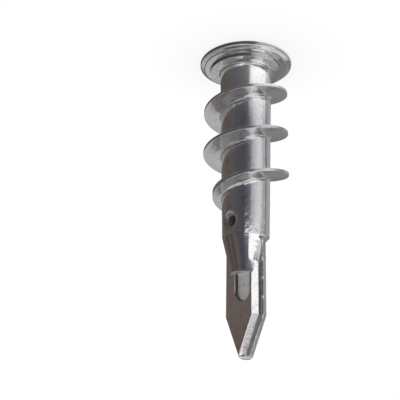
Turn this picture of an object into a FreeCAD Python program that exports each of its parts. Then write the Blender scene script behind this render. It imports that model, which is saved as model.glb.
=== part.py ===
import FreeCAD, Part
import math
import os
import re
import Sketcher
from FreeCAD import Vector

# Self-drilling anchor for plasterboard, cast in one piece.
# The origin is the middle of the flat head face. +Z runs along the bore to the point,
# X lies across the width of the drill blade and Y through its thickness.

SIZES = {
    "overall_length": 45.0,
    # Head: a flat disc whose underside steps up to the barrel in two sloped rings
    "head_diameter": 14.0,
    "head_edge_height": 0.7,
    "head_edge_bevel": 0.12,
    "outer_ring_diameter": 12.7,
    "outer_ring_slope": 0.2,
    "ring_step": 0.2,
    "inner_ring_diameter": 11.9,
    "inner_ring_slope": 0.12,
    "pad_diameter": 11.3,
    "pad_step": 0.3,
    "neck_fillet": 0.45,
    # Barrel: drafted, thinnest at the blade
    "barrel_head_diameter": 7.92,
    "barrel_end_diameter": 6.74,
    "barrel_length": 28.0,
    # Thread: coarse, right hand, thin at the rim
    "thread_diameter": 12.7,
    "thread_pitch": 6.55,
    "thread_turns": 3.125,
    "thread_start_height": 2.85,
    "thread_rim": 0.45,
    "thread_root": 1.3,
    "thread_burial": 0.4,
    "lead_in_shift": 1.45,
    "lead_in_angle": -37.0,
    "fade_step": 0.05,
    # Blade
    "blade_inset": 0.27,
    "blade_thickness": 2.95,
    "blade_bevel": 0.67,
    "blade_root": 6.0,
    "point_length": 5.8,
    "point_width": 0.8,
    "tip_crown": 0.2,
    # Nose: the swelling on one broad face that carries the barrel's wall on to a ledge
    "nose_length": 5.45,
    "nose_narrowing": 0.87,
    "nose_shift": 0.48,
    "nose_sink": 0.09,
    "ledge_lean": 0.95,
    # Relief: a shallow round-ended pocket below the ledge
    "relief_width": 2.6,
    "relief_length": 3.8,
    "relief_depth": 0.6,
    "relief_shift": 0.65,
    # Vent: a round hole with a sloped mouth, through the barrel's wall near its end
    "vent_from_barrel_end": 2.0,
    "vent_shift": 0.2,
    "vent_diameter": 1.9,
    "vent_mouth_diameter": 3.0,
    "vent_mouth_depth": 0.5,
    # Bore for the screw, and the cross recess for the driver round its mouth
    "bore_diameter": 3.4,
    "bore_from_barrel_end": 2.4,
    "bore_taper_length": 3.2,
    "bore_end_diameter": 1.0,
    "bore_mouth_diameter": 4.6,
    "bore_mouth_depth": 1.2,
    "recess_wall": 0.55,
    "recess_slot": 1.7,
    "recess_depth": 1.6,
    "recess_draft": 5.0,
}

doc = FreeCAD.newDocument("DrywallAnchor")
sheet = doc.addObject("Spreadsheet::Sheet", "Sizes")
for row, (alias, value) in enumerate(SIZES.items(), start=1):
    sheet.set(f"A{row}", alias.replace("_", " "))
    sheet.set(f"B{row}", str(value))
    sheet.setAlias(f"B{row}", alias)
body = doc.addObject("PartDesign::Body", "DrywallAnchor")
body.Label = "drywall_anchor"
doc.recompute()

# Lengths that several features share, as formulas of the sizes
HEAD_RADIUS = "( head_diameter / 2 )"
RING_TOP = "( head_edge_height + outer_ring_slope + ring_step )"
NECK_HEIGHT = f"( {RING_TOP} + inner_ring_slope + pad_step )"
BARREL_END_RADIUS = "( barrel_end_diameter / 2 )"
BARREL_SLOPE = "( ( barrel_head_diameter - barrel_end_diameter ) / 2 / barrel_length )"
THREAD_RADIUS = "( thread_diameter / 2 )"
THREAD_END_HEIGHT = "( thread_start_height + thread_turns * thread_pitch )"
HALF_WIDTH = f"( {BARREL_END_RADIUS} - blade_inset )"
HALF_THICKNESS = "( blade_thickness / 2 )"
FLAT_X = f"( {HALF_WIDTH} - blade_bevel )"
FLAT_Y = f"( {HALF_THICKNESS} - blade_bevel )"
POINT_START = "( overall_length - point_length )"
LEDGE_HEIGHT = "( barrel_length + nose_length )"
OUTSIDE = "( head_diameter )"
POINT_SLOPE = f"( ( {HALF_WIDTH} - point_width / 2 ) / point_length )"
LEDGE_SLOPE = f"( ledge_lean / ( {BARREL_END_RADIUS} - {HALF_THICKNESS} ) )"


def barrel_radius(height):
    """The drafted barrel's radius at a height."""
    return f"( barrel_head_diameter / 2 - ( {height} ) * {BARREL_SLOPE} )"


def expression(text):
    """A formula with each size's name turned into its cell in the sheet."""
    return re.sub("[a-z_]+", lambda word: f"Sizes.{word[0]}" if word[0] in SIZES else word[0], text)


def number(text):
    """The value of a formula."""
    return float(sheet.evalExpression(expression(text)))


def origin_plane(role):
    """One of the body's own origin planes."""
    return next(feature for feature in body.Origin.OriginFeatures if feature.Role == role)


def pin(sketch, element, end, name, across, up, free=""):
    """Hold one point of a sketch by its distances from the origin, but for a coordinate left free."""
    for kind, axis, text in (("DistanceX", "x", across), ("DistanceY", "y", up)):
        if axis == free:
            continue
        index = sketch.addConstraint(Sketcher.Constraint(kind, -1, 1, element, end, number(text)))
        sketch.renameConstraint(index, f"{name}_{axis}")
        sketch.setExpression(f"Constraints.{name}_{axis}", expression(text))


def arc_between(start, end, centre):
    """The arc that runs counter-clockwise from one point to another about a centre."""
    circle = Part.Circle(centre, Vector(0, 0, 1), (start - centre).Length)
    angles = [math.atan2(point.y - centre.y, point.x - centre.x) for point in (start, end)]
    return Part.ArcOfCircle(circle, *angles)


def outline(name, role, corners, height="0", arcs=None):
    """A closed sketch through corners. An entry of arcs, corner: (centre, free), bends the edge that
    leaves that corner about a centre, and leaves one coordinate of the edge's far end to the circle."""
    arcs = arcs or {}
    sketch = body.newObject("Sketcher::SketchObject", name)
    sketch.AttachmentSupport = [(origin_plane(role), "")]
    sketch.MapMode = "FlatFace"
    sketch.setExpression("AttachmentOffset.Base.z", expression(height))
    points = [Vector(number(across), number(up), 0) for across, up in corners]
    count = len(points)
    for i, point in enumerate(points):
        following = points[(i + 1) % count]
        if i in arcs:
            centre = Vector(*(number(text) for text in arcs[i][0]), 0)
            sketch.addGeometry(arc_between(point, following, centre), False)
        else:
            sketch.addGeometry(Part.LineSegment(point, following), False)
    for i, (across, up) in enumerate(corners):
        before = (i - 1) % count
        sketch.addConstraint(Sketcher.Constraint("Coincident", before, 2, i, 1))
        pin(sketch, i, 1, f"corner{i}", across, up, arcs[before][1] if before in arcs else "")
        if i in arcs:
            pin(sketch, i, 3, f"centre{i}", *arcs[i][0])
    return sketch


def cut_done(name, volume_before):
    """Recompute, and stop if a cut has taken nothing away."""
    doc.recompute()
    if body.Shape.Volume > volume_before - 1e-3:
        raise RuntimeError(f"{name} cuts nothing")


def pocket(name, sketch, depth, upward=False, both_ways=False, draft="0"):
    """A straight cut from a sketch, with drafted walls where asked."""
    volume = body.Shape.Volume
    feature = body.newObject("PartDesign::Pocket", name)
    feature.Profile = sketch
    feature.Reversed = upward
    feature.Midplane = both_ways
    feature.setExpression("Length", expression(depth))
    feature.setExpression("TaperAngle", expression(draft))
    cut_done(name, volume)
    return feature


def groove(name, sketch, axis):
    """A full turn of a sketch about one of its own axes, cut away."""
    volume = body.Shape.Volume
    feature = body.newObject("PartDesign::Groove", name)
    feature.Profile = sketch
    feature.ReferenceAxis = (sketch, [axis])
    feature.Angle = 360
    cut_done(name, volume)


def round_circles(name, radius, circle_radius, height):
    """Round the level circles of one radius at one height."""
    edges = []
    for i, edge in enumerate(body.Shape.Edges, start=1):
        box = edge.BoundBox
        level = max(abs(box.ZMin - number(height)), abs(box.ZMax - number(height))) < 1e-4
        if level and abs(box.XLength / 2 - number(circle_radius)) < 1e-3:
            edges.append(f"Edge{i}")
    rounded = body.Tip
    feature = body.newObject("PartDesign::Fillet", name)
    feature.Base = (rounded, edges)
    feature.setExpression("Radius", expression(radius))
    doc.recompute()


def make_blade():
    """A flat bar with bevelled long edges, rooted in the barrel, cut to a point on both sides."""
    section = outline("BladeSection", "XY_Plane", [
        (HALF_WIDTH, f"0 - {FLAT_Y}"),
        (HALF_WIDTH, FLAT_Y),
        (FLAT_X, HALF_THICKNESS),
        (f"0 - {FLAT_X}", HALF_THICKNESS),
        (f"0 - {HALF_WIDTH}", FLAT_Y),
        (f"0 - {HALF_WIDTH}", f"0 - {FLAT_Y}"),
        (f"0 - {FLAT_X}", f"0 - {HALF_THICKNESS}"),
        (FLAT_X, f"0 - {HALF_THICKNESS}"),
    ], "barrel_length - blade_root")
    blade = body.newObject("PartDesign::Pad", "Blade")
    blade.Profile = section
    blade.setExpression("Length", expression("overall_length - barrel_length + blade_root"))
    doc.recompute()

    # Cut along the slant with the bevels' own outline, so that the bevels run on to the tip
    flank = outline("PointFlank", "XY_Plane", [
        (HALF_WIDTH, f"0 - {FLAT_Y}"),
        (HALF_WIDTH, FLAT_Y),
        (FLAT_X, HALF_THICKNESS),
        (FLAT_X, OUTSIDE),
        (OUTSIDE, OUTSIDE),
        (OUTSIDE, f"0 - {OUTSIDE}"),
        (FLAT_X, f"0 - {OUTSIDE}"),
        (FLAT_X, f"0 - {HALF_THICKNESS}"),
    ], POINT_START)
    volume = body.Shape.Volume
    point = body.newObject("PartDesign::Pocket", "Point")
    point.Profile = flank
    point.UseCustomVector = True
    point.Direction = Vector(number(f"0 - {POINT_SLOPE}"), 0, 1)
    point.AlongSketchNormal = True
    point.setExpression("Length", expression("point_length * 1.2"))
    cut_done("Point", volume)

    volume = body.Shape.Volume
    both_sides = body.newObject("PartDesign::Mirrored", "PointBothSides")
    both_sides.Originals = [point]
    both_sides.MirrorPlane = (origin_plane("YZ_Plane"), [""])
    body.Tip = both_sides
    cut_done("PointBothSides", volume)

    # The very tip is crowned by an arc over its width
    side = f"( point_width / 2 + tip_crown * {POINT_SLOPE} )"
    foot = "( overall_length - tip_crown )"
    crown = outline("TipCrownCut", "XZ_Plane", [
        (side, foot),
        (f"0 - {side}", foot),
        (f"0 - {HALF_WIDTH}", foot),
        (f"0 - {HALF_WIDTH}", "overall_length + tip_crown"),
        (HALF_WIDTH, "overall_length + tip_crown"),
        (HALF_WIDTH, foot),
    ], "0", {0: (("0", f"overall_length - ( {side} ^ 2 + tip_crown ^ 2 ) / ( 2 * tip_crown )"), "y")})
    pocket("TipCrown", crown, "blade_thickness * 2", both_ways=True)


def make_head_and_barrel():
    """One turned outline: the head's disc and rings, the drafted barrel and a blunt cone at its end."""
    profile = outline("HeadAndBarrelProfile", "XZ_Plane", [
        ("0", "0"),
        (f"{HEAD_RADIUS} - head_edge_bevel", "0"),
        (HEAD_RADIUS, "head_edge_bevel"),
        (HEAD_RADIUS, "head_edge_height - head_edge_bevel"),
        (f"{HEAD_RADIUS} - head_edge_bevel", "head_edge_height"),
        ("outer_ring_diameter / 2", "head_edge_height + outer_ring_slope"),
        ("outer_ring_diameter / 2", RING_TOP),
        ("inner_ring_diameter / 2", f"{RING_TOP} + inner_ring_slope"),
        ("pad_diameter / 2", NECK_HEIGHT),
        (barrel_radius(NECK_HEIGHT), NECK_HEIGHT),
        (BARREL_END_RADIUS, "barrel_length"),
        ("0", f"barrel_length + {BARREL_END_RADIUS}"),
    ])
    barrel = body.newObject("PartDesign::Revolution", "HeadAndBarrel")
    barrel.Profile = profile
    barrel.ReferenceAxis = (profile, ["V_Axis"])
    barrel.Angle = 360
    doc.recompute()
    round_circles("NeckFillet", "neck_fillet", barrel_radius(NECK_HEIGHT), NECK_HEIGHT)


def nose_section(name, height, radius, across, up, left, right):
    """The nose at one height: an arc over the blade, closed by straight sides to mid-thickness."""
    def on_arc(x):
        return f"( {up} + sqrt( ( {radius} ) ^ 2 - ( {x} - ( {across} ) ) ^ 2 ) )"

    corners = [(right, on_arc(right)), (left, on_arc(left)), (left, "0"), (right, "0")]
    return outline(name, "XY_Plane", corners, height, {0: ((across, up), "y")})


def make_nose():
    """From the barrel's end circle to a smaller arc set aside, with an end face that leans to the blade."""
    end_radius = f"( {BARREL_END_RADIUS} - nose_narrowing )"
    start = nose_section(
        "NoseStart", "barrel_length", BARREL_END_RADIUS, "0", "0", f"( 0 - {HALF_WIDTH} )", HALF_WIDTH
    )
    end = nose_section(
        "NoseEnd", LEDGE_HEIGHT, end_radius, "nose_shift", "( 0 - nose_sink )",
        f"( nose_shift - {end_radius} * 0.95 )", f"( nose_shift + {end_radius} * 0.95 )",
    )
    nose = body.newObject("PartDesign::AdditiveLoft", "Nose")
    nose.Profile = start
    nose.Sections = [(end, [""])]
    nose.Ruled = True
    doc.recompute()

    lean = outline("LedgeCut", "YZ_Plane", [
        (HALF_THICKNESS, LEDGE_HEIGHT),
        (BARREL_END_RADIUS, f"{LEDGE_HEIGHT} - ledge_lean"),
        (BARREL_END_RADIUS, f"{LEDGE_HEIGHT} + ledge_lean"),
        (HALF_THICKNESS, f"{LEDGE_HEIGHT} + ledge_lean"),
    ])
    pocket("Ledge", lean, OUTSIDE, both_ways=True)


def make_thread():
    """A slim rib with drafted flanks, carried round the barrel and faded out at both ends."""
    root_radius = f"( {BARREL_END_RADIUS} - thread_burial )"
    profile = outline("ThreadProfile", "XZ_Plane", [
        (f"0 - {THREAD_RADIUS}", "thread_start_height - thread_rim / 2"),
        (f"0 - {root_radius}", "thread_start_height - thread_root / 2"),
        (f"0 - {root_radius}", "thread_start_height + thread_root / 2"),
        (f"0 - {THREAD_RADIUS}", "thread_start_height + thread_rim / 2"),
    ])
    thread = body.newObject("PartDesign::AdditiveHelix", "Thread")
    thread.Profile = profile
    thread.ReferenceAxis = (profile, ["V_Axis"])
    thread.Mode = "pitch-turns-angle"
    thread.setExpression("Pitch", expression("thread_pitch"))
    thread.setExpression("Turns", expression("thread_turns"))
    doc.recompute()

    # Lead-in: a circle set off the axis takes the rim down, and a straight stretch ends it
    base = f"( {THREAD_END_HEIGHT} - thread_pitch * 0.75 )"
    fade = f"( ( {barrel_radius(base)} + fade_step ) * sqrt( 0.5 ) )"
    rim = f"( {THREAD_RADIUS} * sqrt( 0.5 ) )"
    centre = ("lead_in_shift * cos( lead_in_angle )", "lead_in_shift * sin( lead_in_angle )")
    lead_in = outline("LeadInCut", "XY_Plane", [
        (rim, rim),
        (f"lead_in_shift - {THREAD_RADIUS}", "0"),
        (f"0 - {fade}", f"0 - {fade}"),
        (f"0 - {OUTSIDE}", f"0 - {OUTSIDE}"),
        (f"0 - {OUTSIDE}", OUTSIDE),
        (OUTSIDE, OUTSIDE),
    ], base, {0: (centre, "x")})
    pocket("LeadIn", lead_in, "thread_pitch * 1.25", upward=True)

    # Run-out: an arc from the barrel's side takes the rib down beneath the head
    base = f"( {NECK_HEIGHT} + neck_fillet )"
    fade = f"( {barrel_radius(base)} + fade_step )"
    drop = f"( ( {THREAD_RADIUS} ^ 2 - {fade} ^ 2 ) / ( 2 * {THREAD_RADIUS} ) )"
    run_out = outline("RunOutCut", "XY_Plane", [
        (f"0 - {fade}", "0"),
        ("0", f"0 - {THREAD_RADIUS}"),
        ("0", f"0 - {OUTSIDE}"),
        (f"0 - {OUTSIDE}", f"0 - {OUTSIDE}"),
        (f"0 - {OUTSIDE}", "0"),
    ], base, {0: (("0", f"0 - {drop}"), "y")})
    pocket("RunOut", run_out, f"thread_start_height + thread_pitch * 0.55 - {base}", upward=True)


def make_relief():
    """A shallow pocket in the blade's broad face, round towards the point. The ledge runs on down into it."""
    left = "( relief_shift - relief_width / 2 )"
    right = "( relief_shift + relief_width / 2 )"
    slope_end = f"( {LEDGE_HEIGHT} + relief_depth * {LEDGE_SLOPE} )"
    round_height = f"( {LEDGE_HEIGHT} + relief_length - relief_width / 2 )"
    slot = outline("ReliefCut", "XZ_Plane", [
        (right, round_height),
        (left, round_height),
        (left, slope_end),
        (right, slope_end),
    ], f"0 - {HALF_THICKNESS}", {0: (("relief_shift", round_height), "x")})
    pocket("Relief", slot, "relief_depth", upward=True)
    slope = outline("ReliefSlopeCut", "YZ_Plane", [
        (HALF_THICKNESS, LEDGE_HEIGHT),
        (f"{HALF_THICKNESS} - relief_depth", slope_end),
        (f"{HALF_THICKNESS} - relief_depth", f"{slope_end} + relief_depth"),
        (HALF_THICKNESS, f"{slope_end} + relief_depth"),
    ], "relief_shift")
    pocket("ReliefSlope", slope, "relief_width", both_ways=True)


def make_vent():
    """A round hole from the broad side into the bore, with a sloped mouth."""
    height = "( barrel_length - vent_from_barrel_end )"
    skin = barrel_radius(height)
    hole = outline("VentProfile", "YZ_Plane", [
        ("0", height),
        ("0", f"{height} + vent_diameter / 2"),
        (f"{skin} - vent_mouth_depth", f"{height} + vent_diameter / 2"),
        (f"{skin} + vent_mouth_depth", f"{height} + vent_mouth_diameter - vent_diameter / 2"),
        (f"{skin} + vent_mouth_depth", height),
    ], "vent_shift")
    groove("Vent", hole, "Edge5")


def make_bore():
    """The screw's blind bore, flared at the mouth and tapered at the end."""
    end = "( barrel_length - bore_from_barrel_end )"
    profile = outline("BoreProfile", "XZ_Plane", [
        ("0", "0"),
        ("bore_mouth_diameter / 2", "0"),
        ("bore_diameter / 2", "bore_mouth_depth"),
        ("bore_diameter / 2", end),
        ("bore_end_diameter / 2", f"{end} + bore_taper_length"),
        ("0", f"{end} + bore_taper_length"),
    ])
    groove("Bore", profile, "V_Axis")


def make_driver_recess():
    """A cross of two slots in the head face, as wide as the barrel's wall allows."""
    arm = f"( {barrel_radius('recess_depth')} - recess_wall )"
    slot = "( recess_slot / 2 )"
    cross = outline("DriverRecessCut", "XY_Plane", [
        (arm, f"0 - {slot}"), (arm, slot), (slot, slot),
        (slot, arm), (f"0 - {slot}", arm), (f"0 - {slot}", slot),
        (f"0 - {arm}", slot), (f"0 - {arm}", f"0 - {slot}"), (f"0 - {slot}", f"0 - {slot}"),
        (f"0 - {slot}", f"0 - {arm}"), (slot, f"0 - {arm}"), (slot, f"0 - {slot}"),
    ])
    pocket("DriverRecess", cross, "recess_depth", upward=True, draft="0 - recess_draft")


make_blade()
make_head_and_barrel()
make_nose()
make_thread()
make_relief()
make_vent()
make_bore()
make_driver_recess()

for item in doc.Objects:
    if {"Invalid", "Error"} & set(item.State):
        raise RuntimeError(f"{item.Label} failed: {item.State}")
if body.Shape.isNull() or not body.Shape.isValid() or len(body.Shape.Solids) != 1:
    raise RuntimeError(f"{body.Label} isn't one valid solid")
os.makedirs("parts", exist_ok=True)
body.Shape.exportStep(f"parts/{body.Label}.step")
print(body.Label, round(body.Shape.Volume, 1), "mm3", body.Shape.optimalBoundingBox())
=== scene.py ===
# %% [markdown]
# # A drywall anchor in cast zinc
# The anchor is one small casting: a flat head, a drafted barrel with a coarse thread, and a flat
# drill blade. It is made here from a few surfaces, each worked out as whole arrays of points, and
# finished with one metal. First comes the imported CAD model, which gives the size and the place of
# everything that follows.

# %% Load the CAD model
import bmesh
import bpy
import numpy as np
from mathutils import Matrix, Vector


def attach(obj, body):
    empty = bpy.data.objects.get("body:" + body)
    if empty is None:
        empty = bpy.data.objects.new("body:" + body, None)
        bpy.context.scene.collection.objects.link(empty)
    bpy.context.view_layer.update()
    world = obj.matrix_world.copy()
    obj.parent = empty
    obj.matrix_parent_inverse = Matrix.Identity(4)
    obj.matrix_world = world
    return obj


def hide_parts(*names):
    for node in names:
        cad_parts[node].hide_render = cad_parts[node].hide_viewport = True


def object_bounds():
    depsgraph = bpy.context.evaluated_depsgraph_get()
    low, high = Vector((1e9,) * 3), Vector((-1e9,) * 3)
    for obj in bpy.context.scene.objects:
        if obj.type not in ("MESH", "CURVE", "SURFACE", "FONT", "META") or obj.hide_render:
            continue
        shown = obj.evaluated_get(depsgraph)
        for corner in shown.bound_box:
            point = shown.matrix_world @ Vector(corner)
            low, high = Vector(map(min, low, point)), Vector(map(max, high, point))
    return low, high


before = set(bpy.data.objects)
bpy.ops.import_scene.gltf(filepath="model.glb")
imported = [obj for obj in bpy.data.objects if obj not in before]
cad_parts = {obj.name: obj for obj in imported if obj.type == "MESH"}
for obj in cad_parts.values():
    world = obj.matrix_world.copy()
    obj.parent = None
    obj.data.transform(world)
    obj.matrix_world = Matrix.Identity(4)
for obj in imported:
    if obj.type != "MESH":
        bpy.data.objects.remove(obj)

MM = 0.001
cad_low, cad_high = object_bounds()
print("CAD box in mm:", [round(v / MM, 2) for v in (*cad_low, *cad_high)])

# %% [markdown]
# ## Sizes
# A caster thinks of this part as a barrel with things on it, so the sizes that several forms share
# are those of the barrel, of the bore and of the blade. They are in millimetres, as on a drawing,
# and the points only become metres when a mesh is made. Every other size stands where its form is
# made. The overall size comes from the CAD model, so that the two can't drift apart.

# %% Shared sizes in millimetres
HEAD_RADIUS = cad_high.x / MM
LENGTH = cad_high.z / MM
BARREL_AT_HEAD = 3.97  # the barrel's radius at the floor, and then at its far end
BARREL_AT_END = 3.4
BARREL_END = 28.0
SPLIT = 24.6  # above the thread, where the barrel's surface hands over to the blade's
BORE_RADIUS = 1.7
BORE_LIP = BORE_RADIUS + 0.05  # how far in the two caps at the split reach
HALF_WIDTH = 3.1
HALF_THICKNESS = 1.475
BEVEL = 0.67
POINT_START = 39.2
LEDGE = 33.4  # where the ledge meets the blade's broad face
LEDGE_SLOPE = 0.16
print("anchor", 2 * HEAD_RADIUS, "mm across the head,", LENGTH, "mm long")

# %% [markdown]
# ## From a grid of points to a mesh
# Every surface here is a grid: columns go once round the axis and rows go along the part. A grid
# could be drawn face by face, but whole arrays are faster and say more plainly what the shape is.
# Surfaces that meet are joined by a smaller or a larger value with a soft edge, as a file or a
# fillet would leave it.

# %% Helpers for grids
COLUMNS = 360
angles = np.pi + np.linspace(0, 2 * np.pi, COLUMNS + 1)


def smooth_min(a, b, reach):
    """The smaller of two values, less the square of what is left of the reach after their
    difference, over four reaches, which rounds the edge where they cross."""
    return np.minimum(a, b) - np.maximum(reach - np.abs(a - b), 0) ** 2 / (4 * reach)


def smooth_max(a, b, reach):
    """The larger of two values, with the corner between them filled in the same way."""
    return -smooth_min(-a, -b, reach)


def turned(radius, height, angle):
    """Points at a radius and a height, turned round the axis by an angle."""
    radius, height, angle = np.broadcast_arrays(radius, height, angle)
    return np.stack([radius * np.cos(angle), radius * np.sin(angle), height], axis=-1)


def grid_faces(rows, columns, keep=None):
    """The four corners of each cell of a grid, in the order that points a face outwards where the
    columns run anticlockwise and the rows run up the outside."""
    at = np.arange(rows * columns).reshape(rows, columns)
    cells = np.stack([at[:-1, :-1], at[:-1, 1:], at[1:, 1:], at[1:, :-1]], axis=-1)
    return cells[keep] if keep is not None else cells.reshape(-1, 4)


print(COLUMNS, "columns round the axis")

# %% [markdown]
# ## From grids to a piece
# A piece is a few grids in one mesh. Rows or columns that fall on the same spot are welded, which
# closes the seams and the poles. Two numbers go with each point, for the metal to read: how dull the
# casting is there, and how much painted shade darkens its colour. The mesh is shaded smooth, except
# where two faces meet at a sharp angle. Every piece rides on the one body and stands in for the CAD
# model's one part.

# %% Make a piece
WELD = 0.0004 * MM
SLIVER = 0.0001 * MM


def make_piece(name, grids, sharp_from=50):
    """One welded, smooth-shaded mesh from grids of points. Each grid comes with the cells to keep,
    or None for all of them, with how dull the casting is at its points, and with how much painted
    shade darkens them."""
    points, faces, marks, count = [], [], [], 0
    for grid, keep, dull, painted_shade in grids:
        rows, columns = grid.shape[:2]
        points.append(grid.reshape(-1, 3) * MM)
        faces.append(grid_faces(rows, columns, keep) + count)
        marks.append([np.broadcast_to(mark, (rows, columns)).ravel() for mark in (dull, painted_shade)])
        count += rows * columns
    mesh = bpy.data.meshes.new(name)
    mesh.from_pydata(np.concatenate(points), [], np.concatenate(faces))
    for mark, values in zip(("dull", "painted_shade"), np.concatenate(marks, axis=1).astype(float)):
        mesh.attributes.new(mark, "FLOAT", "POINT").data.foreach_set("value", values)
    bm = bmesh.new()
    bm.from_mesh(mesh)
    bmesh.ops.remove_doubles(bm, verts=bm.verts, dist=WELD)
    bmesh.ops.dissolve_degenerate(bm, edges=bm.edges, dist=SLIVER)
    bm.to_mesh(mesh)
    bm.free()
    mesh.shade_smooth()
    mesh.set_sharp_from_angle(angle=np.radians(sharp_from))
    piece = bpy.data.objects.new(name, mesh)
    bpy.context.scene.collection.objects.link(piece)
    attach(piece, "root")
    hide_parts("drywall_anchor")
    print(name, len(mesh.polygons), "faces")
    return piece


# %% [markdown]
# ## The barrel and the parting line
# The barrel is drafted, so that it leaves the die, and a fine raised line runs up each side where
# the two halves of the die met. The line is part of the surface rather than a strip laid on it,
# because a strip would have edges that the casting hasn't.

# %% The barrel's radius and the flash along it
PARTING = -0.18  # how far off the middle the die halves meet
FLASH_RISE = 0.045
FLASH_HALF = 0.075
KNOT_STEP = 2.62


def barrel_radius(height):
    """Falls evenly from the head to the end of the barrel."""
    return BARREL_AT_HEAD + (BARREL_AT_END - BARREL_AT_HEAD) * height / BARREL_END


def flash(radius, height, angle):
    """How far the parting line stands out: a bell curve across the line between the die halves,
    whose top wavers along its length by the product of two sines, and has a small knot at every
    step of the die's own joint."""
    off = radius * np.sin(angle) - PARTING
    ripple = 0.4 + 0.15 * np.sin(height * 2.1) * np.sin(height * 5.3 + 1.0)
    knots = np.cos(np.pi * height / KNOT_STEP) ** 60
    return FLASH_RISE * (ripple + knots) * np.exp(-((off / FLASH_HALF) ** 2))


print("barrel radius", round(barrel_radius(0), 2), "to", round(barrel_radius(BARREL_END), 2), "mm")

# %% [markdown]
# ## The head
# Seen from the barrel's side, the head steps up in two rings to a pad, and a small fillet joins
# the pad to the barrel. It is a plain turned profile. Averaging the profile over a short reach
# rounds every corner by the little that a casting has. The walls of the steps, and the rim near
# the floor, are darkened with painted shade, which stands in for the shadow there.

# %% The head's outline and its grid
FACE_EDGE = 6.6  # where the outline takes over from the head's face
RIM_RADIUS = 7.06
RING_RADIUS = 6.4
PAD_RADIUS = 5.45
PAD = 1.62
NECK_TOP = 2.04
NECK_FILLET = 0.42


def soft_outline(corners, step, reach):
    """A line through corners, cut into even steps, each then replaced by the average of its
    neighbours within the reach."""
    corners = np.array(corners, float)
    run = np.concatenate([[0], np.cumsum(np.hypot(*np.diff(corners, axis=0).T))])
    at = np.linspace(0, run[-1], round(run[-1] / step) + 1)
    line = np.column_stack([np.interp(at, run, corners[:, i]) for i in (0, 1)])
    half = round(reach / step)
    weights = np.hanning(2 * half + 3)[1:-1]
    weights /= weights.sum()
    padded = np.pad(line, ((half, half), (0, 0)), mode="reflect", reflect_type="odd")
    return np.column_stack([np.convolve(padded[:, i], weights, "valid") for i in (0, 1)])


turn = np.linspace(0, np.pi / 2, 7)
neck_radius = barrel_radius(NECK_TOP) + NECK_FILLET * (1 - np.sin(turn))
neck = np.column_stack([neck_radius, NECK_TOP - NECK_FILLET * np.cos(turn)])
head_outline = soft_outline(
    [(FACE_EDGE, 0), (HEAD_RADIUS - 0.1, 0), (RIM_RADIUS, 0.14), (RIM_RADIUS, 0.5), (6.93, 0.62),
     (RING_RADIUS, 0.84), (RING_RADIUS - 0.03, 0.98), (PAD_RADIUS + 0.1, 1.08), (PAD_RADIUS, PAD),
     (neck_radius[0] + 0.05, PAD), *neck],
    step=0.05, reach=0.06,
)
head_radius, head_height = head_outline.T[:, :, None]
head_flash = flash(head_radius, head_height, angles) * (head_height > 0.1)
head_grid = turned(head_radius + head_flash, head_height, angles)
on_wall = (head_radius > PAD_RADIUS - 0.15) & (head_height > 1.12) & (head_height < PAD - 0.03)
on_step = (head_radius > RING_RADIUS - 0.06) & (head_height > 0.86) & (head_height < 0.98)
# Painted shade: the pad's wall, the step's wall and the rim near the floor go towards dark brown.
head_painted_shade = 0.6 * on_wall + 0.35 * on_step + 0.65 * (head_height < 0.53)
print("head outline", len(head_outline), "points")

# %% [markdown]
# ## The thread's rim
# The thread is a slim rib that winds three times round the barrel. At the blade's end it leads in
# gently and under the head it runs out, both as if a round cutter had taken the rim away. So the
# rim's distance from the axis is a function of the turns wound so far, with a circle that lies off
# the axis at either end.

# %% Where the rib's rim is
THREAD_RADIUS = 6.35
TURNS = 3.125
RUN_OUT = 0.25  # turns that run out under the head
LEAD_IN = 0.5  # turns that lead in, and the last stretch of them, which comes down to the barrel
LAST_STRETCH = 0.125
LAST_RIM = 5.09
LEAD_IN_CENTRE = 1.45
LEAD_IN_BEARING = np.radians(-37)
LEAD_IN_RADIUS = 6.314


def circle_reach(angle, centre, bearing, radius):
    """From the axis to a circle about a centre that lies off the axis at a bearing."""
    turn = angle - bearing
    return centre * np.cos(turn) + np.sqrt(radius**2 - (centre * np.sin(turn)) ** 2)


def rim_radius(turns, skin):
    """The rim at a number of turns from the start: full radius, less the run-out and the lead-in,
    and bare barrel beyond both ends."""
    angle = np.pi + 2 * np.pi * turns
    drop = (THREAD_RADIUS**2 - BARREL_AT_HEAD**2) / (2 * THREAD_RADIUS)
    run_out = circle_reach(angle, drop, -np.pi / 2, THREAD_RADIUS - drop)
    lead_in = circle_reach(angle, LEAD_IN_CENTRE, LEAD_IN_BEARING, LEAD_IN_RADIUS)
    share = np.clip((turns - (TURNS - LAST_STRETCH)) / LAST_STRETCH, 0, 1)
    kept = (1 - share) ** 1.25
    last = LAST_RIM * kept + skin * (1 - kept)
    rim = np.where(turns < RUN_OUT, run_out, THREAD_RADIUS)
    rim = np.where(turns > TURNS - LEAD_IN, np.minimum(rim, lead_in), rim)
    rim = np.where(turns > TURNS - LAST_STRETCH, np.minimum(rim, last), rim)
    return np.where((turns < 0) | (turns > TURNS), skin, np.maximum(rim, skin))


print("thread", 2 * THREAD_RADIUS, "mm across,", TURNS, "turns")

# %% [markdown]
# ## The rib's section
# A cast rib is drafted: thin at the rim and thicker at the root, with a rounded edge and a small
# fillet where it stands on the barrel. One side of it is a row of points, each as far from the
# rib's middle and as high over the barrel as the draft and the fillets ask. The other side is its
# mirror image.

# %% One side of the rib
PITCH = 6.55
RIM_HALF = 0.225
FLANK_SLOPE = 0.1257  # sideways for each unit down the flank


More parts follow.
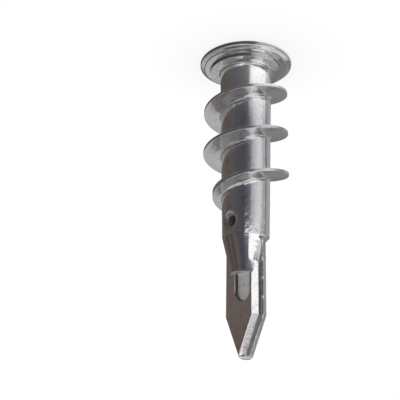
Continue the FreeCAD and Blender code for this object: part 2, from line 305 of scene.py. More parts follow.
def rib_side(rim_height, root_half, rounding=0.07, fillet=0.32):
    """One side of the rib, from the middle of its rim to half a pitch away: (distance from the
    middle, height over the barrel). A flat land, a quarter circle that leans out by a tenth, a
    straight flank, a hollow quarter circle at the root, and then the bare barrel."""
    rounding = np.minimum(rounding, 0.45 * rim_height)
    fillet = np.minimum(fillet, 0.4 * rim_height)
    land = root_half - rim_height * FLANK_SLOPE
    foot = root_half - fillet * FLANK_SLOPE
    across, height = [], []
    for share in (0.0, 0.5):
        across.append(share * (land - rounding))
        height.append(rim_height)
    for turn in np.radians([0, 22, 45, 68, 88]):
        across.append(land - rounding + rounding * (1.0 + 0.1 * np.sin(turn)) * np.sin(turn))
        height.append(rim_height - rounding + rounding * np.cos(turn))
    for share in (0.25, 0.5, 0.75):
        level = (rim_height - rounding) * (1 - share) + fillet * share
        across.append(root_half - level * FLANK_SLOPE)
        height.append(level)
    for turn in np.radians([0, 22, 45, 68, 90]):
        across.append(foot + fillet * (1 - np.cos(turn)))
        height.append(fillet * (1 - np.sin(turn)))
    for share in (0.15, 0.35, 0.6, 0.8, 1.0):
        across.append((foot + fillet) * (1 - share) + PITCH / 2 * share)
        height.append(np.zeros_like(rim_height))
    return np.stack(across), np.stack(height)


print("rib", 2 * RIM_HALF, "mm thick at the rim")

# %% [markdown]
# ## The thread and the barrel together
# A sweep along a helix would have to be joined to the barrel afterwards. Here one grid holds both:
# its rows climb with the rib, one slot of rows for each turn, so that the rim is one clean line
# and not a staircase. Rows that climb past the neck or past the split are held there. The flanks
# are a touch duller than the barrel, as the photograph shows.

# %% The thread's grid and the first piece
THREAD_START = 2.85
FLANK_DULL = 0.08
# Painted shade: the flanks' colour is also darkened a little towards brown.
FLANK_PAINTED_SHADE = 0.07

slots = np.arange(-1, 4)[:, None]
turns = slots + np.linspace(0, 1, COLUMNS + 1)
middle = THREAD_START + PITCH * turns
skin = barrel_radius(middle)
root_half = RIM_HALF + (THREAD_RADIUS - skin) * FLANK_SLOPE
across, rise = rib_side(rim_radius(turns, skin) - skin, root_half)
across = np.concatenate([-across[:0:-1], across])
rise = np.concatenate([rise[:0:-1], rise])
climb = (middle + across).transpose(1, 0, 2).reshape(-1, COLUMNS + 1)
rise = rise.transpose(1, 0, 2).reshape(-1, COLUMNS + 1)
held = (climb < NECK_TOP) | (climb > SPLIT)
climb = np.clip(climb, NECK_TOP, SPLIT)
thread_radius = barrel_radius(climb) + np.where(held, 0, rise)
thread_grid = turned(thread_radius + flash(thread_radius, climb, angles), climb, angles)
on_flank = rise > 0.15

split_radius = thread_radius[-1] + flash(thread_radius[-1], SPLIT, angles)
thread_cap = turned(np.stack([split_radius, 0 * angles + BORE_LIP]), SPLIT, angles)
barrel_piece = make_piece("barrel_and_thread", [
    (head_grid, None, 0, head_painted_shade),
    (thread_grid, None, FLANK_DULL * on_flank, FLANK_PAINTED_SHADE * on_flank),
    (thread_cap, None, 0, 0),
])

# %% [markdown]
# ## The blade
# The blade is a bar with bevelled edges that narrows to a point. Cutting it out of boxes would give
# knife-sharp edges. Instead it is given by how far its surface is from the axis in each direction,
# so that meeting surfaces can be joined by the smaller or the larger of two distances, softly, as
# the die's own fillets do. Towards the point the edge of the broad face is worn rounder.

# %% How far the blade is from the axis
POINT_HALF = 0.4
SIDE_DRAFT = 0.09
CROWN = 0.5  # height of the rounded end
CROWN_HALF = 0.12  # shares of the half width and of the bevel's offset that are left at the end
CROWN_BEVEL = 0.55
EDGE_SOFTNESS = 0.06  # of the broad face's edge, and how much the wear adds to it
WEAR = 0.3
WEAR_START = 42.6
WEAR_RUN = 1.4


def blade_reach(height, angle):
    """The nearest of the side, the bevel and the broad face, each a flat at its own distance,
    which over the crown shrinks by the height of a quarter circle."""
    crown = np.clip((LENGTH - height) / CROWN, 0, 1)
    crown = np.sqrt(np.maximum(crown * (2 - crown), 0))
    taper = np.clip((height - POINT_START) / (LENGTH - POINT_START), 0, 1)
    half = (HALF_WIDTH + (POINT_HALF - HALF_WIDTH) * taper) * (CROWN_HALF + (1 - CROWN_HALF) * crown)
    across, through = np.abs(np.cos(angle)) + 1e-9, np.abs(np.sin(angle)) + 1e-9
    drafted = (half - SIDE_DRAFT * PARTING) / (across + SIDE_DRAFT * np.maximum(-np.sin(angle), 0))
    side = np.minimum(half / across, drafted)
    offset = (HALF_THICKNESS - BEVEL) * (CROWN_BEVEL + (1 - CROWN_BEVEL) * crown)
    corner = (half + offset) / (across + through)
    worn = EDGE_SOFTNESS + WEAR * np.clip((height - WEAR_START) / WEAR_RUN, 0, 1)
    return smooth_min(smooth_min(side, corner, 0.05), HALF_THICKNESS / through, worn)


print("blade", 2 * HALF_WIDTH, "by", 2 * HALF_THICKNESS, "mm")

# %% [markdown]
# ## The nose and the flank beside it
# On one broad side the barrel doesn't stop: its wall runs on as a nose, which narrows to a slanted
# ledge. The nose is a circle that shrinks and moves aside, which is what a cone is, row by row. Its
# flank is a flat at each height, from the foot of the nose's arc to the blade's side, so it twists
# from the barrel's round skin into the blade's bevel.

# %% How far the nose and its flank are from the axis
NOSE_NARROWING = 0.87
NOSE_SHIFT = 0.48
NOSE_SINK = 0.09
NOSE_INSET = 0.99  # how much nearer the nose ends on its left than the blade's side
FOOT_AT_BARREL = (2.73, 1.98)  # X and Y of the foot of the nose's arc, at the barrel's end
FOOT_AT_LEDGE = (2.24, 1.67)


def nose_share(height):
    """0 at the barrel's end and 1 at the ledge."""
    return np.clip((height - BARREL_END) / (LEDGE - BARREL_END), 0, 1)


def nose_reach(height, angle):
    """The distance to the nose's circle, cut by the blade's side planes, by the slanted ledge and
    by the plane through the blade's middle."""
    share = nose_share(height)
    across, through = np.cos(angle), np.sin(angle)
    centre_x, centre_y = NOSE_SHIFT * share, -NOSE_SINK * share
    along = centre_x * across + centre_y * through
    radius = BARREL_AT_END - NOSE_NARROWING * share
    round_face = along + np.sqrt(np.maximum(radius**2 - centre_x**2 - centre_y**2 + along**2, 0))
    limit = np.where(across > 0, HALF_WIDTH, HALF_WIDTH - NOSE_INSET * share) / (np.abs(across) + 1e-9)
    over_face = np.maximum(LEDGE - height, -0.5) / LEDGE_SLOPE
    ledge = (HALF_THICKNESS + over_face) / np.maximum(through, 1e-3)
    reach = smooth_min(smooth_min(round_face, limit, 0.1), ledge, 0.08)
    return np.where((through > 0) & (height < LEDGE + 0.4), reach, 0)


def flank_reach(height, angle):
    """The distance to the flat through the arc's foot and the blade's side: how far the foot is
    along the way that the flat faces, over the share of this direction in that way."""
    share = nose_share(height)
    foot_x, foot_y = [a + (b - a) * share for a, b in zip(FOOT_AT_BARREL, FOOT_AT_LEDGE)]
    up = height - BARREL_END
    side_x = np.interp(up, [0, 0.9], [BARREL_AT_END, HALF_WIDTH])
    side_y = np.interp(up, [0, 1.2, 2.5, 3.9], [PARTING, 0.2, 0.36, HALF_THICKNESS - BEVEL])
    run = np.hypot(side_x - foot_x, foot_y - side_y)
    facing_x, facing_y = (foot_y - side_y) / run, (side_x - foot_x) / run
    facing = np.cos(angle) * facing_x + np.sin(angle) * facing_y
    return (foot_x * facing_x + foot_y * facing_y) / np.maximum(facing, 1e-3)


print("nose", round(LEDGE - BARREL_END, 2), "mm long, up to the ledge")

# %% [markdown]
# ## The body above the thread
# The barrel closes on to the blade with a blunt cone. Blade, cone and nose are one body: in each
# direction its surface is the furthest of the three. The grid's rows stand closer where the form
# changes fast, at the cone, the ledge and the crown, and near the parting line the columns lean so
# that one of them follows it.

# %% The blade's grid
def body_reach(height, angle):
    """The furthest of the blade, the nose and the cone that closes the barrel, less the flank."""
    cone = BARREL_AT_END - (height - BARREL_END)
    reach = smooth_max(blade_reach(height, angle), cone, 0.12)
    reach = np.maximum(reach, nose_reach(height, angle))
    flanked = smooth_min(reach, flank_reach(height, angle), 0.05)
    reach = np.where(height < POINT_START, flanked, reach)
    return np.where(height <= BARREL_END, barrel_radius(height), reach)


def parting_angle(radius):
    """The angle at which the parting line lies at a distance from the axis."""
    return np.arcsin(PARTING / radius)


stops = [SPLIT, BARREL_END, LEDGE - 0.4, LEDGE + 0.2, POINT_START, LENGTH - CROWN]
counts = [42, 68, 25, 60, 46]
spans = [np.linspace(start, end, count)[:-1] for start, end, count in zip(stops, stops[1:], counts)]
heights = np.concatenate([*spans, LENGTH - CROWN * np.linspace(1, 0, 13) ** 2])[:, None]

side_reach = np.maximum(body_reach(heights, 0 * heights), 0.5)
lean = parting_angle(side_reach) - parting_angle(HALF_WIDTH)
leaning = angles + lean * np.cos(angles) ** 15
reach = body_reach(heights, leaning)
blade_flash = flash(reach, heights, leaning) * (heights < LENGTH - 0.6)
blade_grid = turned(reach + blade_flash, heights, leaning)
x, y, z = np.moveaxis(blade_grid, -1, 0)
print("blade grid", len(heights), "rows")

# %% [markdown]
# ## The relief above the ledge
# Above the ledge, on the same broad face, the die left a shallow pocket with a round end. Its
# floor is matt, and its walls, like the ledge below, are darkened with painted shade. Cutting it
# with a boolean would leave a hard, uneven edge. Pressing the grid's own points in by a soft step
# keeps one surface.

# %% The relief, pressed into the grid
RELIEF_MIDDLE = 0.65
RELIEF_HALF = 1.3
RELIEF_LENGTH = 3.8
RELIEF_DEPTH = 0.6
RELIEF_WALL = 0.2

round_from = LEDGE + RELIEF_LENGTH - RELIEF_HALF
sideways = np.abs(x - RELIEF_MIDDLE)
off = np.where(z > round_from, np.hypot(x - RELIEF_MIDDLE, z - round_from), sideways)
inside = smooth_max(smooth_min((RELIEF_HALF - off) / RELIEF_WALL + 0.5, 1, 0.2), 0, 0.2)
slant = np.clip((z - LEDGE) / LEDGE_SLOPE, 0, RELIEF_DEPTH)
y = np.where(y > 0, y - inside * np.where(z > LEDGE, slant, 0), y)

in_relief = (y > 0) & (z > LEDGE) & (off < RELIEF_HALF + 0.1)
on_relief_wall = in_relief & (inside > 0.04) & (inside < 0.97) & (slant > 0.1)
over_ledge = y - HALF_THICKNESS > (LEDGE - z) / LEDGE_SLOPE - 0.05
on_ledge = (y > HALF_THICKNESS + 0.03) & (z < LEDGE) & over_ledge
dull = np.where(in_relief & (inside > 0.9), 1, np.where(on_ledge, 0.7, 0))
# Painted shade: the relief's walls fully, and the ledge by about a third, go towards dark brown.
painted_shade = np.where(on_relief_wall, 1, np.where(on_ledge, 0.35, 0))
print("relief", 2 * RELIEF_HALF, "by", RELIEF_LENGTH, "mm")

# %% [markdown]
# ## The vent's mouth
# A round hole near the barrel's end lets dust out of the bore. Its mouth is a shallow, uneven dish.
# The points near the hole's edge are first moved on to it, so that the opening is a true circle,
# and then the dish is the smaller of the skin and a cone that is steeper along the barrel.

# %% The vent's mouth and the second piece
VENT_ACROSS = 0.08
VENT_HEIGHT = 26.0
VENT_RADIUS = 0.82
MOUTH_DEPTH = 0.42
vent_face = barrel_radius(VENT_HEIGHT) - MOUTH_DEPTH

off = np.hypot(x - VENT_ACROSS, z - VENT_HEIGHT)
near = (y > 0) & (off < 2.0)
snapped = near & (np.abs(off - VENT_RADIUS) < 0.05)
x = np.where(snapped, VENT_ACROSS + (x - VENT_ACROSS) * VENT_RADIUS / np.maximum(off, 0.1), x)
z = np.where(snapped, VENT_HEIGHT + (z - VENT_HEIGHT) * VENT_RADIUS / np.maximum(off, 0.1), z)
off = np.where(snapped, VENT_RADIUS, off)
steep = 0.45 + 0.35 * ((z - VENT_HEIGHT) / np.maximum(off, 0.1)) ** 2
y = np.where(near, smooth_min(y, vent_face + (off - VENT_RADIUS) * steep, 0.16), y)
blade_grid = np.stack([x, y, z], axis=-1)

in_mouth = near & (off < VENT_RADIUS + 0.45)
# Painted shade: the mouth is darkened strongly, and only lightly on its outer part towards one side.
lightly_shaded = (off > VENT_RADIUS + 0.28) & (x - VENT_ACROSS > z - VENT_HEIGHT)
dull = np.where(in_mouth, 0.3, dull)
painted_shade = np.where(in_mouth, np.where(lightly_shaded, 0.15, 0.6), painted_shade)

hole = near & (off < VENT_RADIUS - 0.001)
open_cell = hole[:-1, :-1] | hole[1:, :-1] | hole[:-1, 1:] | hole[1:, 1:]
tip = turned(np.zeros((1, 1)), LENGTH, angles)
blade_cap = turned(np.stack([0 * angles + BORE_LIP, split_radius]), SPLIT, angles)
blade_piece = make_piece("blade_and_nose", [
    (blade_cap, None, 0, 0),
    (blade_grid, ~open_cell, dull, painted_shade),
    (np.concatenate([blade_grid[-1:], tip]), None, 0, 0),
], sharp_from=16)

# %% [markdown]
# ## The head's face and the bore
# The anchor is hollow. Its bore opens in the head's face with a flared mouth and ends in a taper,
# and a cross of two drafted slots lets a driver turn the anchor. The face, the cross and the flare
# are one grid of depths, which starts from the bore's last row, so nothing has to be cut or joined.

# %% The face and the bore
CROSS_ARM = 3.376
CROSS_HALF = 0.85
CROSS_DEPTH = 1.6
CROSS_WALL = 0.14
FLARE_RADIUS = 2.3
FLARE_RUN = 0.6
FLARE_DEPTH = 1.2
FACE_INNER = 3.6  # beyond the arms of the cross, where the face is flat
BORE_FROM = 2.0
BORE_END = 25.6
BORE_TIP = 28.8


def face_depth(x, y):
    """The deeper of the cross, whose walls lean in by their draft, and the flare round the bore."""
    inside = np.maximum(
        np.minimum(CROSS_ARM - np.abs(x), CROSS_HALF - np.abs(y)),
        np.minimum(CROSS_ARM - np.abs(y), CROSS_HALF - np.abs(x)),
    )
    flare = FLARE_DEPTH * np.clip((FLARE_RADIUS - np.hypot(x, y)) / FLARE_RUN, 0, 1)
    return np.maximum(CROSS_DEPTH * np.clip(inside / CROSS_WALL, 0, 1), flare)


face_radius = np.concatenate([
    np.linspace(BORE_RADIUS, FACE_INNER, 66), np.linspace(FACE_INNER, FACE_EDGE, 10)[1:],
])
face_grid = turned(face_radius[:, None], 0, angles)
face_grid[..., 2] = face_depth(face_grid[..., 0], face_grid[..., 1])
bore_heights = np.concatenate([np.linspace(BORE_END, SPLIT, 14), np.linspace(SPLIT, BORE_FROM, 14)[1:]])
bore_rows = np.concatenate([bore_heights[:, None] + 0 * angles, face_grid[:1, :, 2]])
bore_grid = turned(BORE_RADIUS, bore_rows, angles)
end_outline = np.array([
    (0, BORE_TIP), (0.5, BORE_TIP), (0.9, 27.73), (1.3, 26.67), (BORE_RADIUS, BORE_END),
])
end_grid = turned(end_outline[:, :1], end_outline[:, 1:], angles)
# Painted shade: the bore and its tapered end are fully darkened towards brown, and fully dull.
bore_piece = make_piece("head_face_and_bore", [
    (end_grid, None, 1, 1), (bore_grid, None, 1, 1), (face_grid, None, 0, 0),
])

# %% [markdown]
# ## The vent's wall
# The vent goes through the barrel's wall into the bore. Its own wall is a short tube from the
# mouth's edge to the bore's skin, where it ends on the bore's curve. It starts a little wide, so
# that it tucks under the mouth's edge without a gap.

# %% The tube through the barrel's wall
turn = np.linspace(0, 2 * np.pi, 97)
vent_radius = VENT_RADIUS + np.array([0.07, 0.01, 0, 0, 0])[:, None]
vent_x = VENT_ACROSS + vent_radius * np.cos(turn)
bore_skin = np.sqrt(np.maximum(BORE_RADIUS**2 - vent_x[-1] ** 2, 0)) + 0.02
top = 0 * turn + vent_face
vent_y = np.stack([top - 0.03, top - 0.06, top - 0.1, (vent_face - 0.1 + bore_skin) / 2, bore_skin])
vent_z = VENT_HEIGHT + vent_radius * np.sin(turn)
vent_grid = np.stack([vent_x, vent_y, vent_z], axis=-1)
# Painted shade: the vent's wall is half dull and partly darkened towards brown.
vent_piece = make_piece("vent_wall", [(vent_grid, None, 0.5, 0.35)])

# %% [markdown]
# ## The pattern of the skin
# Zinc leaves the die bright, but its skin is never even: it is faintly mottled, with streaks where
# the metal ran along the barrel. An image could carry that, but it would have to be fitted round
# every form. Two noises on object coordinates run through all of them. A node group holds both,
# and gives out a shade and a height.

# %% The skin's node group
def node_with(nodes, kind, **values):
    """A new node of a kind, with values for its inputs, whose names have _ for each space."""
    node = nodes.new(kind)
    for name, value in values.items():
        node.inputs[name.replace("_", " ")].default_value = value
    return node


def skin_group():
    """A shader node group: mottling, and its average with streaks along Z, from coordinates."""
    group = bpy.data.node_groups.new("cast_skin", "ShaderNodeTree")
    group.interface.new_socket("Vector", in_out="INPUT", socket_type="NodeSocketVector")
    size = group.interface.new_socket("Mottle Size", in_out="INPUT", socket_type="NodeSocketFloat")
    size.default_value = 1300.0
    group.interface.new_socket("Shade", in_out="OUTPUT", socket_type="NodeSocketFloat")
    group.interface.new_socket("Height", in_out="OUTPUT", socket_type="NodeSocketFloat")
    nodes, links = group.nodes, group.links
    given, made = nodes.new("NodeGroupInput"), nodes.new("NodeGroupOutput")
    stretch = node_with(nodes, "ShaderNodeMapping", Scale=(1.0, 1.0, 0.12))
    streaks = node_with(nodes, "ShaderNodeTexNoise", Scale=1600.0, Detail=2.0, Roughness=0.6)
    mottle = node_with(nodes, "ShaderNodeTexNoise", Detail=2.5, Roughness=0.6)
    both, half = nodes.new("ShaderNodeMath"), nodes.new("ShaderNodeMath")
    both.operation, half.operation = "ADD", "MULTIPLY"
    half.inputs[1].default_value = 0.5
    links.new(given.outputs["Vector"], stretch.inputs["Vector"])
    links.new(stretch.outputs["Vector"], streaks.inputs["Vector"])
    links.new(given.outputs["Vector"], mottle.inputs["Vector"])
    links.new(given.outputs["Mottle Size"], mottle.inputs["Scale"])
    links.new(streaks.outputs["Fac"], both.inputs[0])
    links.new(mottle.outputs["Fac"], both.inputs[1])
    links.new(both.outputs[0], half.inputs[0])
    links.new(half.outputs[0], made.inputs["Height"])
    links.new(mottle.outputs["Fac"], made.inputs["Shade"])
    return group


cast_skin = skin_group()
print("node group", cast_skin.name, "with", len(cast_skin.nodes), "nodes")

# %% [markdown]
# ## The metal
# One material does for the whole casting, as one metal does in the shop. The skin's shade turns
# into colour and roughness, and its height into a fine bump. Where a point is marked as dull, the
# metal is rough and a little less metallic, and where it is marked with painted shade, its colour
# goes towards dark brown. That is cheaper than four materials, and it fades softly between points.

# %% Cast zinc
# The dark brown of the painted shade.
PAINTED_SHADE_BROWN = (0.16, 0.145, 0.135, 1)
DARK_ZINC = (0.77, 0.765, 0.77, 1)
BRIGHT_ZINC = (0.98, 0.98, 0.99, 1)


def zinc_material():
    """Bright cast zinc. The skin's shade picks the colour and the roughness, and then the colour is
    mixed with the painted shade's dark brown, and the roughness with its dull value, by the share
    that the point is marked with."""
    material = bpy.data.materials.new("cast_zinc")
    material.use_nodes = True
    nodes, links = material.node_tree.nodes, material.node_tree.links
    shader = nodes["Principled BSDF"]
    place, skin = nodes.new("ShaderNodeTexCoord"), nodes.new("ShaderNodeGroup")
    skin.node_tree = cast_skin
    dull, painted_shade = nodes.new("ShaderNodeAttribute"), nodes.new("ShaderNodeAttribute")
    dull.attribute_name, painted_shade.attribute_name = "dull", "painted_shade"
    colour = nodes.new("ShaderNodeValToRGB")
    for stop, at, tone in zip(colour.color_ramp.elements, (0.3, 0.44), (DARK_ZINC, BRIGHT_ZINC)):
        stop.position, stop.color = at, tone
    rough = node_with(nodes, "ShaderNodeMapRange", To_Min=0.06, To_Max=0.16)
    bright = node_with(nodes, "ShaderNodeMapRange", To_Min=1.0, To_Max=0.75)
    dulled = node_with(nodes, "ShaderNodeMix", B=0.6)
    shaded_colour = node_with(nodes, "ShaderNodeMixRGB", Color2=PAINTED_SHADE_BROWN)
    bump = node_with(nodes, "ShaderNodeBump", Strength=0.42, Distance=0.1 * MM)
    links.new(place.outputs["Object"], skin.inputs["Vector"])
    links.new(skin.outputs["Shade"], colour.inputs["Fac"])
    links.new(skin.outputs["Shade"], rough.inputs["Value"])
    links.new(skin.outputs["Height"], bump.inputs["Height"])
    links.new(dull.outputs["Fac"], dulled.inputs["Factor"])
    links.new(dull.outputs["Fac"], bright.inputs["Value"])
    links.new(painted_shade.outputs["Fac"], shaded_colour.inputs["Fac"])
    links.new(colour.outputs["Color"], shaded_colour.inputs["Color1"])
    links.new(rough.outputs["Result"], dulled.inputs["A"])
    links.new(shaded_colour.outputs["Color"], shader.inputs["Base Color"])
    links.new(bright.outputs["Result"], shader.inputs["Metallic"])
    links.new(dulled.outputs["Result"], shader.inputs["Roughness"])
    links.new(bump.outputs["Normal"], shader.inputs["Normal"])
    return material


zinc = zinc_material()
for piece in (barrel_piece, blade_piece, bore_piece, vent_piece):
    piece.data.materials.append(zinc)
print("material", zinc.name, "on 4 pieces")

# %% [markdown]
# ## What the metal sees
# Bright metal shows its surroundings more than itself, so what matters most is what each side of
# the studio looks like in the metal: dark on the left, a white screen on the right and in front.
# Real cards could stand there, but they would hide the anchor from some sides. Here reflections
# find colour ramps that run once round the anchor. The floor has four, from the head outwards, and
# the sky has three, upwards, the lowest of which is the floor's last.

# %% The zones' stops
# Each is (degrees from the camera, rightwards; level of grey; share warmer; share cooler).
CLOSE = [
    (-180, 0.09, 0.1), (-150, 0.08, 0.15), (-100, 0.08, 0.2), (-60, 0.09, 0.12), (-40, 0.10, 0, 0.1),
    (-15, 0.12, 0, 0.15), (2, 0.16), (11, 0.22), (19, 0.85), (30, 1.0), (72, 1.0), (86, 0.7), (98, 0.5),
    (112, 0.36), (150, 0.33), (180, 0.09),
]
NEAR = [
    (-180, 0.16, 0.1), (-150, 0.12, 0.15), (-100, 0.08, 0.2), (-60, 0.08, 0.12), (-40, 0.07, 0, 0.1),
    (-10, 0.06, 0, 0.25), (5, 0.075, 0, 0.2), (19, 0.14, 0, 0.1), (30, 0.38, 0, 0.06), (45, 0.5, 0, 0.06),
    (62, 0.6, 0, 0.05), (76, 0.56, 0, 0.05), (90, 0.3), (106, 0.18), (120, 0.35), (150, 0.33), (180, 0.16),
]
FAR = [
    (-180, 0.14, 0.1), (-155, 0.075, 0.2), (-120, 0.11, 0.2), (-80, 0.097, 0.25), (-66, 0.105, 0.2),
    (-58, 0.055, 0.2), (-50, 0.10, 0.2), (-43, 0.045, 0.2), (-36, 0.105, 0.1), (-24, 0.095, 0.1),
    (-18, 0.055, 0, 0.2), (-7, 0.085, 0, 0.2), (-3, 1.0), (64, 1.0), (72, 0.08), (92, 0.045), (100, 0.3),
    (140, 0.33), (180, 0.14),
]
LOW = [
    (-180, 0.2), (-150, 0.10, 0.2), (-132, 0.098, 0.2), (-108, 0.06, 0.2), (-98, 0.05, 0.25),
    (-91, 0.085, 0.25), (-84, 0.08, 0.25), (-79, 0.042, 0.25), (-70, 0.06, 0.2), (-58, 0.09, 0.15),
    (-48, 0.085, 0.1), (-36, 0.058, 0, 0.2), (-20, 0.06, 0, 0.3), (-4, 0.09, 0, 0.25), (12, 0.12, 0, 0.15),
    (20, 0.22, 0, 0.1), (27, 1.0), (66, 1.0), (78, 0.2), (92, 0.08), (120, 0.22), (150, 0.25), (180, 0.2),
]
MIDDLE = [
    (-180, 0.12), (-179, 0.14), (-177.6, 0.46), (-165, 0.4), (-150, 0.4), (-110, 0.22), (-60, 0.2),
    (-42, 0.4), (-25, 0.6, 0.06), (-20, 1.0), (-8, 1.0), (-2, 0.6, 0.06), (10, 0.6, 0.06), (22, 0.35),
    (60, 0.19), (90, 0.12), (104, 0.13), (110, 0.27), (124, 0.4), (148, 0.17), (176, 0.18, 0, 0.05),
    (178.5, 0.14), (180, 0.12),
]
HIGH = [
    (-180, 0.13), (-177, 0.14), (-171, 0.38), (-160, 0.47), (-150, 0.4), (-135, 0.22), (-60, 0.18),
    (0, 0.11), (25, 0.12), (50, 0.15), (62, 0.3), (80, 0.42), (100, 0.4), (130, 0.5), (145, 0.6),
    (155, 0.3), (165, 0.15), (173, 0.12), (180, 0.13),
]
print("stops:", sum(len(stops) for stops in (CLOSE, NEAR, FAR, LOW, MIDDLE, HIGH)))

# %% [markdown]
# ## From stops to a colour
# A radial gradient gives the angle round the axis, and a ramp turns it into a colour. Ramps follow
# each other along a value, the distance on the floor or the height of a direction in the sky, with
# a soft change between two neighbours.

# %% Ramps round the axis
TOWARDS_CAMERA = 46.2  # the camera's bearing, in degrees from X


def grey(level, warm=0.0, cool=0.0):
    """A grey with a share more red, or a share more blue."""
    return level * (1 + warm), level, level * (1 - warm / 2 + cool)


def zones(nodes, links, place, stops):
    """A ramp round the axis, from stops of degrees and a tone."""
    turn = node_with(nodes, "ShaderNodeMapping", Rotation=(0, 0, np.radians(-TOWARDS_CAMERA)))
    round_about, ramp = nodes.new("ShaderNodeTexGradient"), nodes.new("ShaderNodeValToRGB")
    round_about.gradient_type = "RADIAL"
    for i, (degrees, *tone) in enumerate(sorted(stops, reverse=True)):
        where = (180 - degrees) / 360
        stop = ramp.color_ramp.elements[i] if i < 2 else ramp.color_ramp.elements.new(where)
        stop.position, stop.color = where, (*grey(*tone), 1)
    links.new(place, turn.inputs["Vector"])
    links.new(turn.outputs["Vector"], round_about.inputs["Vector"])
    links.new(round_about.outputs["Fac"], ramp.inputs["Fac"])
    return ramp.outputs["Color"]


def zones_along(nodes, links, place, value, lists, spans):
    """One ramp after another: the next takes over in proportion to how far the value has come
    through the span between them."""
    shown, *others = [zones(nodes, links, place, stops) for stops in lists]
    for (start, end), other in zip(spans, others):
        share = node_with(nodes, "ShaderNodeMapRange", From_Min=start, From_Max=end)
        mix = nodes.new("ShaderNodeMixRGB")
        links.new(value, share.inputs["Value"])
        links.new(share.outputs["Result"], mix.inputs["Fac"])
        links.new(shown, mix.inputs["Color1"])
        links.new(other, mix.inputs["Color2"])
        shown = mix.outputs["Color"]
    return shown


print("camera's bearing", TOWARDS_CAMERA, "degrees")

# %% [markdown]
# ## Who sees the zones
# Neither the eye nor the light on matt surfaces should have anything of the zones. Cycles tells a
# shader what kind of ray asks for its colour, and a mix by that kind keeps the zones for
# reflections alone. What the camera sees is plain white.

# %% Helpers for the rays
def combined(nodes, links, operation, first, second):
    """Two values combined by one operation."""
    node = nodes.new("ShaderNodeMath")
    node.operation = operation
    links.new(first, node.inputs[0])
    links.new(second, node.inputs[1])
    return node.outputs[0]


def seen_shader(nodes, links, lit, target, zone_colour, glow=None):
    """White to the camera and through glass, the zones in reflections, and the plain lit shader
    for the rest. Where a glow is given and is under one, the camera sees some of the lit shader
    too, with its shadow."""
    rays = nodes.new("ShaderNodeLightPath").outputs
    choose = node_with(nodes, "ShaderNodeMixRGB", Color1=(1, 1, 1, 1))
    shown, mix = nodes.new("ShaderNodeEmission"), nodes.new("ShaderNodeMixShader")
    links.new(rays["Is Glossy Ray"], choose.inputs["Fac"])
    links.new(zone_colour, choose.inputs["Color2"])
    links.new(choose.outputs["Color"], shown.inputs["Color"])
    seen = rays["Is Camera Ray"]
    if glow:
        seen = combined(nodes, links, "MULTIPLY", seen, glow)
    for ray in ("Is Glossy Ray", "Is Transmission Ray"):
        seen = combined(nodes, links, "MAXIMUM", seen, rays[ray])
    links.new(seen, mix.inputs["Fac"])
    links.new(lit, mix.inputs[1])
    links.new(shown.outputs[0], mix.inputs[2])
    links.new(mix.outputs[0], target)


print("helpers:", combined.__name__, "and", seen_shader.__name__)

# %% [markdown]
# ## The floor
# The anchor stands on a plain white floor. Seen by the camera it glows white, so that no edge or
# horizon shows, except near the head, where a fifth of the real, lit floor comes through and gives
# the faint shadow that tells the eye what the anchor stands on. It lies a hair under the head, so
# that the two faces don't flicker.

# %% The floor
FLOOR_SPANS = [(0.01, 0.03), (0.125, 0.15), (0.3, 0.5)]  # metres from the axis
FLOOR_HALF = 1.0
FLOOR_DROP = 0.1 * MM
PAPER = (0.95, 0.95, 0.95, 1)
SHADOW_FROM = 0.007
SHADOW_TO = 0.016

floor_material = bpy.data.materials.new("floor")
floor_material.use_nodes = True
nodes, links = floor_material.node_tree.nodes, floor_material.node_tree.links
plain = nodes["Principled BSDF"]
plain.inputs["Base Color"].default_value = PAPER
plain.inputs["Roughness"].default_value = 0.9
place = nodes.new("ShaderNodeTexCoord").outputs["Object"]
distance = nodes.new("ShaderNodeVectorMath")
distance.operation = "LENGTH"
links.new(place, distance.inputs[0])
away = distance.outputs["Value"]
shown = zones_along(nodes, links, place, away, [CLOSE, NEAR, FAR, LOW], FLOOR_SPANS)
glow = node_with(
    nodes, "ShaderNodeMapRange", From_Min=SHADOW_FROM, From_Max=SHADOW_TO, To_Min=0.8, To_Max=1.0,
)
links.new(away, glow.inputs["Value"])
surface = nodes["Material Output"].inputs["Surface"]
seen_shader(nodes, links, plain.outputs[0], surface, shown, glow.outputs["Result"])

floor_mesh = bpy.data.meshes.new("floor")
corners = FLOOR_HALF * np.array([(-1, -1, 0), (1, -1, 0), (1, 1, 0), (-1, 1, 0)]) - (0, 0, FLOOR_DROP)
floor_mesh.from_pydata(corners, [], [(0, 1, 2, 3)])
floor_mesh.materials.append(floor_material)
floor = bpy.data.objects.new("floor", floor_mesh)
bpy.context.scene.collection.objects.link(floor)
print("floor", 2 * FLOOR_HALF, "m wide")

# %% [markdown]
# ## The sky
# The world does for the sky what the floor's material does below: white to the eye, an even light
# on everything, and zones in reflections. Its ramps follow each other by how far up a direction
# points, which is the direction's own Z.

# %% The world
SKY_SPANS = [(0.2, 0.34), (0.5, 0.58)]  # Z of the direction
SKY_LIGHT = (0.85, 0.85, 0.85, 1)

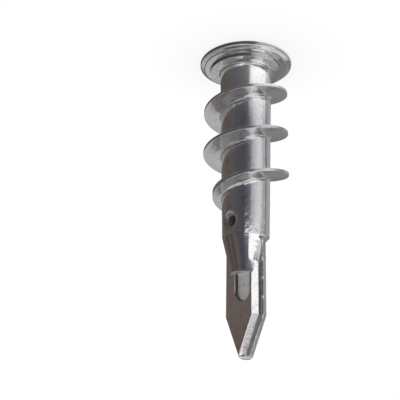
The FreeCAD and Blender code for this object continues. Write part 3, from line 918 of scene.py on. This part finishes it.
world = bpy.data.worlds.new("studio")
bpy.context.scene.world = world
world.use_nodes = True
nodes, links = world.node_tree.nodes, world.node_tree.links
nodes["Background"].inputs["Color"].default_value = SKY_LIGHT
direction = nodes.new("ShaderNodeTexCoord").outputs["Generated"]
parts = nodes.new("ShaderNodeSeparateXYZ")
links.new(direction, parts.inputs[0])
shown = zones_along(nodes, links, direction, parts.outputs["Z"], [LOW, MIDDLE, HIGH], SKY_SPANS)
surface = nodes["World Output"].inputs["Surface"]
seen_shader(nodes, links, nodes["Background"].outputs[0], surface, shown)
print("world", world.name)

# %% [markdown]
# ## The lamps
# Two large, weak lamps lift the floor, the matt parts and those with painted shade to a plain level.
# They are soft, because a small lamp would draw a hard shadow that the photograph hasn't.

# %% Two soft lamps
LAMP_AIM = Vector((0, 0, 22))


def soft_lamp(name, place, size, power):
    """A square area lamp in millimetres, aimed at the middle of the anchor."""
    lamp = bpy.data.objects.new(name, bpy.data.lights.new(name, "AREA"))
    bpy.context.scene.collection.objects.link(lamp)
    lamp.data.size, lamp.data.energy = size * MM, power
    lamp.location = Vector(place) * MM
    lamp.rotation_euler = (LAMP_AIM * MM - lamp.location).to_track_quat("-Z", "Y").to_euler()
    print(name, power, "W")


soft_lamp("side_lamp", (213, -73, 268), 240, 0.06)
soft_lamp("top_lamp", (0, 40, 420), 300, 0.12)

# %% [markdown]
# ## The camera
# The photograph was taken from close by, and its top is where the anchor's head is. So the camera
# stands near, looks a little down at the standing anchor, and is turned over. Its place and two of
# its directions were fitted to the outline, and the third is their cross product. The colours are
# shown as they are, without a film look.

# %% The camera
LENS = 58.43
SENSOR = 36.0
CAMERA_PLACE = Vector((62.819, 65.493, 50.888))
AHEAD = Vector((-0.70927, -0.63784, -0.30019))
RIGHT = Vector((0.67335, -0.73904, -0.02066))

camera = bpy.data.objects.new("camera", bpy.data.cameras.new("camera"))
bpy.context.scene.collection.objects.link(camera)
camera.data.lens, camera.data.sensor_width = LENS, SENSOR
camera.data.clip_start, camera.data.clip_end = 0.005, 10.0
turned_over = Matrix((RIGHT, RIGHT.cross(AHEAD), -AHEAD)).transposed().to_4x4()
camera.matrix_world = Matrix.Translation(CAMERA_PLACE * MM) @ turned_over
bpy.context.scene.camera = camera
bpy.context.scene.view_settings.view_transform = "Standard"
print("camera", round(CAMERA_PLACE.length), "mm from the head's middle")
